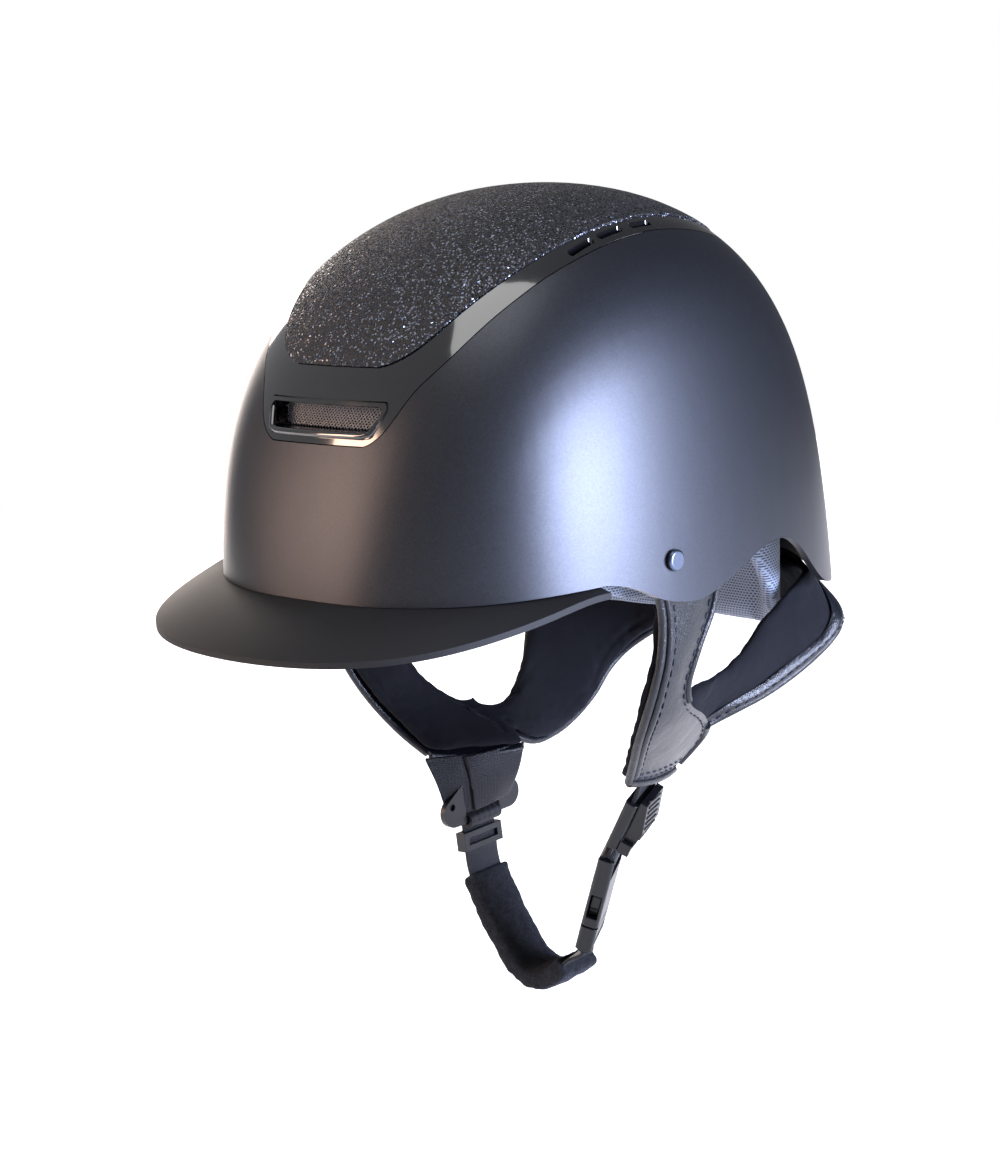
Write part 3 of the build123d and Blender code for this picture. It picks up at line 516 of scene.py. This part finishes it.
LEFT_ARM = [
    [(101.3, -40, 9), (100.5, -31, -17), (99, -31, -36), (96, -33, -50), (90, -33, -64), (82, -30, -77),
     (72, -23, -90), (60, -14, -103)],
    [(102.3, 2, 9), (99, 7, -18), (96, -3, -40), (92, -7, -56), (88, -1, -67), (76, 22, -80),
     (61, 38, -94), (47, 31, -111)]]
LEFT_BAND = [
    [(58, 24, -96), (63, 41, -91), (70, 53, -86), (76, 68, -81), (82, 86, -73), (87, 102, -63),
     (84, 113, -58), (70, 124, -58), (44, 131.5, -60), (22, 133.6, -61), (1.2, 134, -61)],
    [(72, 14, -83), (72, 28, -80), (75, 41, -75), (79, 56, -69), (84, 76, -59), (87.5, 98, -50),
     (81.5, 112, -47), (66, 122, -47), (43.5, 130, -46), (22, 132.8, -46), (1.2, 133.6, -46)],
    [(80, 2, -70), (80, 14, -68.5), (79.5, 27, -66), (79, 41, -61), (79, 56, -52), (81, 74, -39),
     (80, 96, -30), (61, 117, -30), (42, 125.5, -28), (22, 129.3, -28), (1.2, 130.6, -28)]]
RIGHT_ARM = [
    [(-101.3, -40, 9), (-101, -32, -17), (-100, -32, -38), (-97, -33, -52), (-93, -33, -64), (-86, -27, -81),
     (-75, -20, -97), (-60, -16, -108)],
    [(-102.3, 2, 9), (-99, 9, -18), (-97, 6, -42), (-93, 3, -60), (-89, 3, -72), (-81, 12, -88),
     (-66, 27, -101), (-43, 29, -114)]]
RIGHT_BAND = [
    [(-54, 20, -104), (-54, 43, -116), (-55, 60, -117), (-55, 76, -113), (-55, 92, -105), (-55, 105, -95),
     (-50, 116, -86), (-36, 125, -76), (-18, 131, -67), (-2.4, 134, -61)],
    [(-66, 15, -96), (-63, 36, -101), (-63, 52, -99), (-66, 66, -94), (-70, 82, -82), (-73, 97, -68),
     (-67, 112, -60), (-49, 125, -55), (-24, 131.5, -48), (-2.4, 133.8, -46)],
    [(-78, 8, -85), (-70, 27, -90), (-66, 44, -90), (-75, 65, -68), (-83, 82, -44), (-82, 97, -32),
     (-69, 112, -30), (-47, 124, -29), (-24, 129.5, -28), (-2.4, 131, -28)]]

leather_hide, tree, shader = new_material("pigmented calf leather, navy black", "0b0d12", 0.3, **{
    "Coat Weight": 0.08, "Coat Roughness": 0.2, "Specular IOR Level": 0.3})
place = add_node(tree, "TexCoord").outputs["Object"]
pore_size = 0.0011
pores = add_node(tree, "TexVoronoi", {"Vector": place, "Scale": 1 / pore_size}, feature="DISTANCE_TO_EDGE")
crease = add_node(tree, "TexNoise", {"Vector": place, "Scale": 90.0, "Detail": 4.0, "Roughness": 0.6})
relief = add_node(tree, "Math", {0: pores.outputs["Distance"], 1: 0.35, 2: crease.outputs["Fac"]},
                  operation="MULTIPLY_ADD")
hide_bump = add_node(tree, "Bump", {"Height": relief.outputs[0], "Strength": 0.6, "Distance": 0.0012})
tree.links.new(hide_bump.outputs["Normal"], shader.inputs["Normal"])
# Painted shade: the colour is darker in the hollows of the crease relief and lighter on its ridges.
crease_shade_tone = add_node(tree, "ValToRGB", {"Fac": crease.outputs["Fac"]})
crease_shade_tone.color_ramp.elements[0].color = linear("06070a")
crease_shade_tone.color_ramp.elements[1].color = linear("0f1219")
tree.links.new(crease_shade_tone.outputs["Color"], shader.inputs["Base Color"])
hide_gloss = add_node(tree, "MapRange", {"Value": crease.outputs["Fac"], "To Min": 0.24, "To Max": 0.42})
tree.links.new(hide_gloss.outputs["Result"], shader.inputs["Roughness"])

waxed_thread, tree, shader = new_material("waxed polyester thread, slate", "1b1f2a", 0.6, **{
    "Specular IOR Level": 0.25})
place = add_node(tree, "TexCoord").outputs["Object"]
twist = add_node(tree, "TexNoise", {"Vector": place, "Scale": 2500.0})
twist_bump = add_node(tree, "Bump", {"Height": twist.outputs["Fac"], "Strength": 0.4, "Distance": 0.0002})
tree.links.new(twist_bump.outputs["Normal"], shader.inputs["Normal"])


def smooth_along(points, s):
    """Point at share s of a smooth line through the given points."""
    last = len(points) - 1
    k = min(int(s * last), last - 1)
    u = s * last - k
    p0, p1, p2, p3 = (points[min(max(k + i, 0), last)] for i in (-1, 0, 1, 2))
    return (p1 * 2 + (p2 - p0) * u + (p0 * 2 - p1 * 5 + p2 * 4 - p3) * u ** 2
            + (p1 * 3 - p0 - p2 * 3 + p3) * u ** 3) / 2


def hide_point(lines, s, t):
    """Point of a hide: share s along its edges, share t from the first edge to the last."""
    edges = [smooth_along([Vector(p) / 1000 for p in line], s) for line in lines]
    if len(edges) == 2:
        return edges[0].lerp(edges[1], t)
    return edges[0] * ((1 - t) * (1 - 2 * t)) + edges[1] * (4 * t * (1 - t)) + edges[2] * (t * (2 * t - 1))


def hide_normal(lines, s, t):
    """Direction out of the hide, away from the head."""
    step = 0.01
    along = hide_point(lines, min(s + step, 1), t) - hide_point(lines, max(s - step, 0), t)
    across = hide_point(lines, s, min(t + step, 1)) - hide_point(lines, s, max(t - step, 0))
    normal = along.cross(across).normalized()
    return normal if normal.dot(hide_point(lines, s, t) - inside_head) > 0 else -normal


def bow_at(s, share, crown):
    """How far a hide bows out over its foam, at a share of its length and a share of its width."""
    return crown * min(1.0, 4 * s) * 4 * share * (1 - share)


def on_hide(lines, s, inset, reach, side, lift, crown=0.0):
    """Point at a distance in from the first (-1) or last (1) edge of a hide, lifted off its surface."""
    width = (hide_point(lines, s, reach[1]) - hide_point(lines, s, reach[0])).length
    share = inset / width if side < 0 else 1 - inset / width
    t = reach[0] + (reach[1] - reach[0]) * share
    return hide_point(lines, s, t) + hide_normal(lines, s, t) * (lift + bow_at(s, share, crown))


def even_shares(lines, t, first, last, pitch):
    """Shares along the hide that are one pitch apart."""
    fine = 400
    shares = []
    travelled = pitch
    before = hide_point(lines, first, t)
    for i in range(fine + 1):
        s = first + (last - first) * i / fine
        here = hide_point(lines, s, t)
        travelled += (here - before).length
        before = here
        if travelled >= pitch:
            shares.append(s)
            travelled = 0
    return shares


def add_slab(bm, lines, shares, reach, columns, rows, depth, thickness, crown=0.0):
    """Adds a closed slab that follows a hide, between two shares of its length."""
    old = set(bm.verts)
    made = bmesh.ops.create_grid(bm, x_segments=columns, y_segments=rows, size=1)["verts"]
    for vertex in made:
        s = shares[0] + (shares[1] - shares[0]) * (vertex.co.x + 1) / 2
        t = reach(s)[0] + (reach(s)[1] - reach(s)[0]) * (vertex.co.y + 1) / 2
        bow = bow_at(s, (vertex.co.y + 1) / 2, crown)
        place = hide_point(lines, s, t)
        ripple = noise.noise(place * 55) * 0.0004
        vertex.co = place + hide_normal(lines, s, t) * (bow + ripple - depth)
    faces = [face for face in bm.faces if face.verts[0] not in old]
    for face in faces:
        face.normal_update()
    middle_face = faces[len(faces) // 2]
    if middle_face.normal.dot(middle_face.calc_center_median() - inside_head) < 0:
        bmesh.ops.reverse_faces(bm, faces=faces)
    bmesh.ops.solidify(bm, geom=faces, thickness=thickness)


def mesh_of(bm, name):
    """The finished mesh of a bmesh, smooth and facing outwards."""
    bmesh.ops.recalc_face_normals(bm, faces=bm.faces)
    for face in bm.faces:
        face.smooth = True
    mesh = bpy.data.meshes.new(name)
    bm.to_mesh(mesh)
    bm.free()
    return mesh


def sew(bm, points):
    """Adds a row of thread stitches through the points."""
    for here, after in zip(points[:-1], points[1:]):
        middle = here.lerp(after, 0.5)
        turn = (after - here).to_track_quat("X", "Z").to_matrix().to_4x4()
        half = stitch_length / 2
        stretch = Matrix.Diagonal((half, stitch_radius, stitch_radius, 1))
        bmesh.ops.create_uvsphere(bm, u_segments=6, v_segments=4, radius=1,
                                  matrix=Matrix.Translation(middle) @ turn @ stretch)


def leather_part(name, node, lines, reach, piping, seams, depth, foot_rows=()):
    """A hide with its piping and stitching, given as side, inset from that edge, first and last share.

    The foot rows are shares at which thread crosses the hide. A cord then closes its foot as well.
    """
    bm = bmesh.new()
    add_slab(bm, lines, (0, 1), reach, hide_columns, hide_rows, depth, leather_depth, leather_crown)
    for edge in bm.edges:
        edge.smooth = edge.calc_face_angle(0) < math.radians(50)
    hide = new_object(name, mesh_of(bm, name))
    hide.data.materials.append(leather_hide)
    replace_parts(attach(hide, "helmet"), node)
    cords = []
    for side, inset, first, last in piping:
        shares = even_shares(lines, 0.5, first, last, piping_step)
        cords.append([on_hide(lines, s, inset, reach(s), side, -depth - piping_sunk, leather_crown)
                      for s in shares])
    if foot_rows:
        foot = [0.02 + 0.96 * i / 20 for i in range(21)]
        cords.append([hide_point(lines, foot_share, t)
                      + hide_normal(lines, foot_share, t) * bow_at(foot_share, t, leather_crown)
                      for t in foot])
    roll = new_object(name + "_piping", tube_mesh(name + "_piping", cords, piping_radius))
    roll.data.materials.append(leather_hide)
    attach(roll, "helmet")
    bm = bmesh.new()
    for side, inset, first, last in seams:
        shares = even_shares(lines, 0.5, first, last, stitch_length + stitch_gap)
        sew(bm, [on_hide(lines, s, inset, reach(s), side, stitch_lift - depth, leather_crown)
                 for s in shares])
    for s in foot_rows:
        run = (hide_point(lines, s, 0.88) - hide_point(lines, s, 0.12)).length
        count = int(run / (stitch_length + stitch_gap))
        row = [0.12 + 0.76 * i / count for i in range(count + 1)]
        lifts = [stitch_lift + bow_at(s, t, leather_crown) for t in row]
        sew(bm, [hide_point(lines, s, t) + hide_normal(lines, s, t) * lift for t, lift in zip(row, lifts)])
    thread = new_object(name + "_stitching", mesh_of(bm, name + "_stitching"))
    thread.data.materials.append(waxed_thread)
    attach(thread, "helmet")


def arm_reach(s):
    return 0.0, 1.0


def left_reach(s):
    """The leather under the left band is a strip that widens past the shell's widest point."""
    return 0.0, min(1.0, 0.22 + max(0.0, s - 0.45) * 3.0)


def right_reach(s):
    return 0.0, min(1.0, 0.5 + 1.2 * s)


leather_crown = 0.0024
stitch_lift = 0.0002
hide_columns = 90
hide_rows = 24
piping_step = 0.003
foot_share = 0.99
piping_sunk = 0.0002
tucked = 0.0016
arm_foot_rows = (0.93, 0.955)
arm_piping = [(-1, 0.0006, 0.02, 0.985), (-1, 0.0044, 0.02, 0.93), (1, 0.0006, 0.1, 0.55),
              (1, 0.0006, 0.8, 0.985)]
arm_seams = [(-1, 0.0076, 0.04, 0.95), (1, 0.005, 0.1, 0.93)]
band_piping = [(-1, 0.0002, 0.02, 0.995)]
band_seams = [(-1, 0.0046, 0.05, 0.98)]
for side, arm_lines in (("left", LEFT_ARM), ("right", RIGHT_ARM)):
    leather_part(side + "_arm_hide", "harness_arm_" + side, arm_lines, arm_reach, arm_piping, arm_seams, 0.0,
                 arm_foot_rows)
for side, band_lines, reach in (("left", LEFT_BAND, left_reach), ("right", RIGHT_BAND, right_reach)):
    leather_part(side + "_band_hide", "harness_band_" + side, band_lines, reach, band_piping, band_seams,
                 tucked)


# ---- Harness lining ----
# Soft black velvet over thin foam, sewn inside the leather where it touches the head.
# The nap is darkest face on and catches light at a glance, and the cloth puckers between seams.

velvet_cloth, tree, shader = new_material("cotton velvet, black", "07070a", 0.95, **{
    "Sheen Weight": 0.1, "Sheen Roughness": 0.35, "Sheen Tint": linear("7f88a4"), "Specular IOR Level": 0.2})
place = add_node(tree, "TexCoord").outputs["Object"]
nap = add_node(tree, "TexNoise", {"Vector": place, "Scale": 1400.0, "Detail": 3.0})
pucker = add_node(tree, "TexNoise", {"Vector": place, "Scale": 70.0, "Detail": 3.0, "Distortion": 0.6})
nap_relief = add_node(tree, "Math", {0: nap.outputs["Fac"], 1: 0.2, 2: pucker.outputs["Fac"]},
                      operation="MULTIPLY_ADD")
nap_bump = add_node(tree, "Bump", {"Height": nap_relief.outputs[0], "Strength": 0.6, "Distance": 0.0012})
tree.links.new(nap_bump.outputs["Normal"], shader.inputs["Normal"])
# Painted shade: the colour is darker in the hollows of the puckers and lighter on their crests.
pucker_shade_tone = add_node(tree, "ValToRGB", {"Fac": pucker.outputs["Fac"]})
pucker_shade_tone.color_ramp.elements[0].color = linear("040406")
pucker_shade_tone.color_ramp.elements[1].color = linear("0c0d14")
tree.links.new(pucker_shade_tone.outputs["Color"], shader.inputs["Base Color"])

lining_depth = 0.0065
lining_cell = 0.002
lining_join = 0.0014
lining_swell = 0.001
lining_rounds = 16
seam_inset = 0.0055
seam_depth = 0.0011
seam_spread = 0.0012

for side, arm_lines, band_lines in (("left", LEFT_ARM, LEFT_BAND), ("right", RIGHT_ARM, RIGHT_BAND)):
    lining = merged_copy("lining_" + side + "_velvet", "lining_arm_" + side, "lining_band_" + side)
    shift(lining, lambda place: lining_join)
    stuff(lining, lining_cell, lining_join, lining_swell, lining_rounds)
    seam_points = []
    for lines, edges, first, last in ((arm_lines, (-1, 1), 0.15, 0.95), (band_lines, (-1, 1), 0.05, 1.0)):
        for edge_side in edges:
            for s in even_shares(lines, 0.5, first, last, 0.0008):
                seam_points.append(on_hide(lines, s, seam_inset, (0, 1), edge_side, -lining_depth))
    seam_tree = KDTree(len(seam_points))
    for index, point in enumerate(seam_points):
        seam_tree.insert(point, index)
    seam_tree.balance()

    def velvet_height(place):
        apart = seam_tree.find(place)[2]
        groove = math.exp(-(apart / seam_spread) ** 2) * seam_depth
        crumple = math.exp(-(apart / 0.006) ** 2) * noise.noise(place * 230) * 0.0006
        return noise.noise(place * 60) * 0.0005 + crumple - groove

    shift(lining, velvet_height)
    lining.data.materials.append(velvet_cloth)
    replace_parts(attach(lining, "helmet"), "lining_arm_" + side, "lining_band_" + side)


# ---- Nape pad ----
# The cradle's own knit pad, cut with round lower corners so that it clears the band on each side.

nape_thickness = 0.009
nape_cell = 0.0028
nape_low = [(71.5, 68, -20), (71.5, 78, -38), (68, 87.5, -50), (60.5, 95.5, -56), (48.5, 98.5, -58),
            (33, 100, -58), (16, 101, -58), (0, 101, -58)]
nape_high = [(72.3, 64, -6), (72.8, 78, -6.5), (70, 89, -7), (63, 96.5, -7.5), (50.5, 101, -8),
             (34, 103, -8.5), (17, 104, -9), (0, 104, -9)]
NAPE_PAD = [line + [(-x, y, z) for x, y, z in reversed(line[:-1])] for line in (nape_low, nape_high)]


bm = bmesh.new()
add_slab(bm, NAPE_PAD, (0, 1), arm_reach, 80, 20, 0.0, nape_thickness)
nape_pad = new_object("occipital_pad_knit", mesh_of(bm, "occipital_pad_knit"))
stuff(nape_pad, nape_cell, pad_draw, pad_swell)
lay_cloth_round(nape_pad, pad_radius)
nape_pad.data.materials.append(knit_mesh)
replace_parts(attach(nape_pad, "occipital_cradle"), "occipital_pad")


# ---- Webbing ----
# Flat 20 mm polyester webbing, woven with a fine rib across it, folded and sewn round each bar.
# One strip hangs from the leather on the left, two from the right, and one goes under the chin.

webbing_ribs, tree, shader = new_material("ribbed polyester webbing, black", "0b0c10", 0.5, **{
    "Sheen Weight": 0.05, "Specular IOR Level": 0.2})
web_uv = add_node(tree, "UVMap", uv_map="cloth").outputs["UV"]
rib_pitch = 0.0011
# The two rib tones are the weave's own. The grooves between ribs, low in the bump, are near black: painted
# shade in the grooves.
web_weave_and_groove_shade = add_node(tree, "TexBrick", {
    "Vector": web_uv, "Scale": 1 / rib_pitch, "Color1": linear("101218"), "Color2": linear("0b0c11"),
    "Mortar": linear("040405"), "Mortar Size": 0.16, "Mortar Smooth": 0.8, "Brick Width": 1.0,
    "Row Height": 1.6})
tree.links.new(web_weave_and_groove_shade.outputs["Color"], shader.inputs["Base Color"])
web_height = add_node(tree, "Math", {0: 1.0, 1: web_weave_and_groove_shade.outputs["Fac"]}, operation="SUBTRACT")
web_bump = add_node(tree, "Bump", {"Height": web_height.outputs[0], "Strength": 0.7, "Distance": 0.0004})
tree.links.new(web_bump.outputs["Normal"], shader.inputs["Normal"])


def lay_cloth_along(piece, route, across):
    """Cloth coordinates in metres: along the nearest stretch of the route, and across it."""
    layer = piece.data.uv_layers.new(name="cloth")
    starts = [0.0]
    for a, b in zip(route[:-1], route[1:]):
        starts.append(starts[-1] + (b - a).length)
    found = {}
    for vertex in piece.data.vertices:
        best = None
        for k, (a, b) in enumerate(zip(route[:-1], route[1:])):
            run = b - a
            share = min(max((vertex.co - a).dot(run) / run.length_squared, 0), 1)
            apart = (vertex.co - a - run * share).length
            if best is None or apart < best[0]:
                best = (apart, starts[k] + run.length * share)
        found[vertex.index] = (best[1], vertex.co.dot(across))
    for loop, corner in zip(piece.data.loops, layer.data):
        corner.uv = found[loop.vertex_index]


strap_y = 0.008
chin_line = [(-56.9, -143.4), (-56.3, -153), (-55.7, -163), (-54.5, -169), (-50.8, -178), (-45, -189),
             (-38, -200), (-30, -209.5), (-18, -214), (-6, -209.5), (1, -202.5), (10, -190)]
chin_route = [Vector((x / 1000, strap_y, z / 1000)) for x, z in chin_line]
buckle_axis = Vector((0.3767, 0, 0.9263))
buckle_middle = Vector((0.0175, strap_y, -0.171))
left_route = [Vector((0.054, 0.009, -0.1035)), Vector((0.041, 0.008, -0.126)),
              buckle_middle + buckle_axis * 0.03]
webbing_routes = {
    "chin_webbing": ("chin_strap", chin_route, Vector((0, 1, 0))),
    "buckle_webbing": ("helmet", left_route, Vector((-0.36, 0.91, 0.18))),
}
for web_name, (web_body, web_route, web_across) in webbing_routes.items():
    web = merged_copy(web_name + "_woven", web_name)
    lay_cloth_along(web, web_route, web_across.normalized())
    web.data.materials.append(webbing_ribs)
    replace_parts(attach(web, web_body), web_name)


v_sheet = 0.0013
v_shapes = {
    "v_webbing_front": [(-60, -19, -108), (-52.5, 6, -111), (-55.8, -13, -134), (-51.8, 3, -137)],
    "v_webbing_back": [(-53, -1, -111), (-44.5, 31, -111), (-50.9, 1, -136.5), (-51.2, 25, -135)],
}
for web_name, web_corners in v_shapes.items():
    top_a, top_b, foot_a, foot_b = (Vector(corner) / 1000 for corner in web_corners)
    bm = bmesh.new()
    made = bmesh.ops.create_grid(bm, x_segments=24, y_segments=30, size=1)["verts"]
    for vertex in made:
        u = (vertex.co.x + 1) / 2
        v = (vertex.co.y + 1) / 2
        place = top_a.lerp(top_b, u).lerp(foot_a.lerp(foot_b, u), v)
        bow = math.sin(math.pi * v) * 0.0012 + math.sin(math.pi * u) * 0.0006
        vertex.co = place + Vector((bow + noise.noise(place * 70) * 0.0005, 0, 0))
    bmesh.ops.solidify(bm, geom=list(bm.faces), thickness=v_sheet)
    web = new_object(web_name + "_woven", mesh_of(bm, web_name + "_woven"))
    lay_cloth_along(web, [top_a.lerp(top_b, 0.5), foot_a.lerp(foot_b, 0.5)], Vector((0, 1, 0)))
    web.data.materials.append(webbing_ribs)
    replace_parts(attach(web, "helmet"), web_name)


# ---- Chin pad ----
# A sleeve of black fleece over a thin foam core, closed with a flap and slid on the chin webbing.

fleece_pile, tree, shader = new_material("polyester fleece, black", "0c0c0f", 1.0, **{
    "Sheen Weight": 0.14, "Sheen Roughness": 0.5, "Sheen Tint": linear("9aa0b0"), "Specular IOR Level": 0.2})
place = add_node(tree, "TexCoord").outputs["Object"]
pile = add_node(tree, "TexNoise", {"Vector": place, "Scale": 750.0, "Detail": 5.0, "Roughness": 0.7})
pile_bump = add_node(tree, "Bump", {"Height": pile.outputs["Fac"], "Strength": 1.0, "Distance": 0.001})
tree.links.new(pile_bump.outputs["Normal"], shader.inputs["Normal"])
# Painted shade: the colour is darker between the tufts of the pile relief and lighter on them.
pile_shade_tone = add_node(tree, "ValToRGB", {"Fac": pile.outputs["Fac"]})
pile_shade_tone.color_ramp.elements[0].position = 0.35
pile_shade_tone.color_ramp.elements[1].position = 0.7
pile_shade_tone.color_ramp.elements[0].color = linear("050506")
pile_shade_tone.color_ramp.elements[1].color = linear("1c1d22")
tree.links.new(pile_shade_tone.outputs["Color"], shader.inputs["Base Color"])
sleeve_cell = 0.0016
sleeve_draw = 0.0003
sleeve_swell = 0.0008
chin_sleeve = stuff(merged_copy("chin_pad_fleece", "chin_pad"), sleeve_cell, sleeve_draw, sleeve_swell)
fleece_tuft = 0.0005
shift(chin_sleeve, lambda place: (noise.noise(place * 260) + noise.noise(place * 90)) * fleece_tuft)
chin_sleeve.data.materials.append(fleece_pile)
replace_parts(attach(chin_sleeve, "chin_strap"), "chin_pad")


# ---- Buckle, adjuster, slider and V plate ----
# Acetal mouldings with a fine spark-eroded texture, slightly glossy on their worn edges.
# The lever of the adjuster has raised ribs across it for the fingertip.

acetal, tree, shader = new_material("moulded acetal, charcoal", "08090c", 0.3, **{"Specular IOR Level": 0.32})
place = add_node(tree, "TexCoord").outputs["Object"]
spark_size = 0.0004
spark = add_node(tree, "TexNoise", {"Vector": place, "Scale": 1 / spark_size, "Detail": 2.0})
worn_edge = add_node(tree, "Bevel", {"Radius": 0.0006}, samples=4)
spark_bump = add_node(tree, "Bump", {
    "Height": spark.outputs["Fac"], "Strength": 0.2, "Distance": 0.0002, "Normal": worn_edge.outputs[0]})
tree.links.new(spark_bump.outputs["Normal"], shader.inputs["Normal"])
scuff = add_node(tree, "TexNoise", {"Vector": place, "Scale": 220.0, "Detail": 4.0})
scuff_gloss = add_node(tree, "MapRange", {"Value": scuff.outputs["Fac"], "To Min": 0.22, "To Max": 0.4})
tree.links.new(scuff_gloss.outputs["Result"], shader.inputs["Roughness"])
for plastic_node in ("v_plate", "strap_slider", "buckle_female", "buckle_male", "buckle_prong_front",
                     "buckle_prong_rear", "cam_adjuster", "cam_lever", "occipital_cradle", "cradle_pins"):
    finish(plastic_node, acetal)

rib_gap = 0.0026
rib_radius = 0.00055
lever_surface = tree_of("cam_lever")
lever_low, lever_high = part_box("cam_lever")
rib_lines = []
z = lever_low.z + 0.006
while z < lever_high.z - 0.004:
    line = []
    for i in range(15):
        y = lever_low.y + 0.004 + (lever_high.y - lever_low.y - 0.008) * i / 14
        hit = lever_surface.ray_cast(Vector((lever_high.x + 0.02, y, z)), Vector((-1, 0, 0)))[0]
        if hit is not None:
            line.append(hit)
    if len(line) == 15:
        rib_lines.append(line)
    z += rib_gap
grip_ribs = new_object("lever_grip_ribs", tube_mesh("lever_grip_ribs", rib_lines, rib_radius))
grip_ribs.data.materials.append(acetal)
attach(grip_ribs, "cam_lever")


# ---- Rivets ----
# Steel tubular rivets through shell, leather and washer, plated with dark nickel.

dark_nickel, tree, shader = new_material("nickel-plated steel, dark", "5b6374", 0.3, Metallic=1.0)
place = add_node(tree, "TexCoord").outputs["Object"]
lathe = add_node(tree, "TexNoise", {"Vector": place, "Scale": 800.0, "Detail": 3.0})
lathe_gloss = add_node(tree, "MapRange", {"Value": lathe.outputs["Fac"], "To Min": 0.2, "To Max": 0.42})
tree.links.new(lathe_gloss.outputs["Result"], shader.inputs["Roughness"])
for rivet_node in ("rivet_left", "rivet_right", "rivet_washer_left", "rivet_washer_right"):
    finish(rivet_node, dark_nickel)
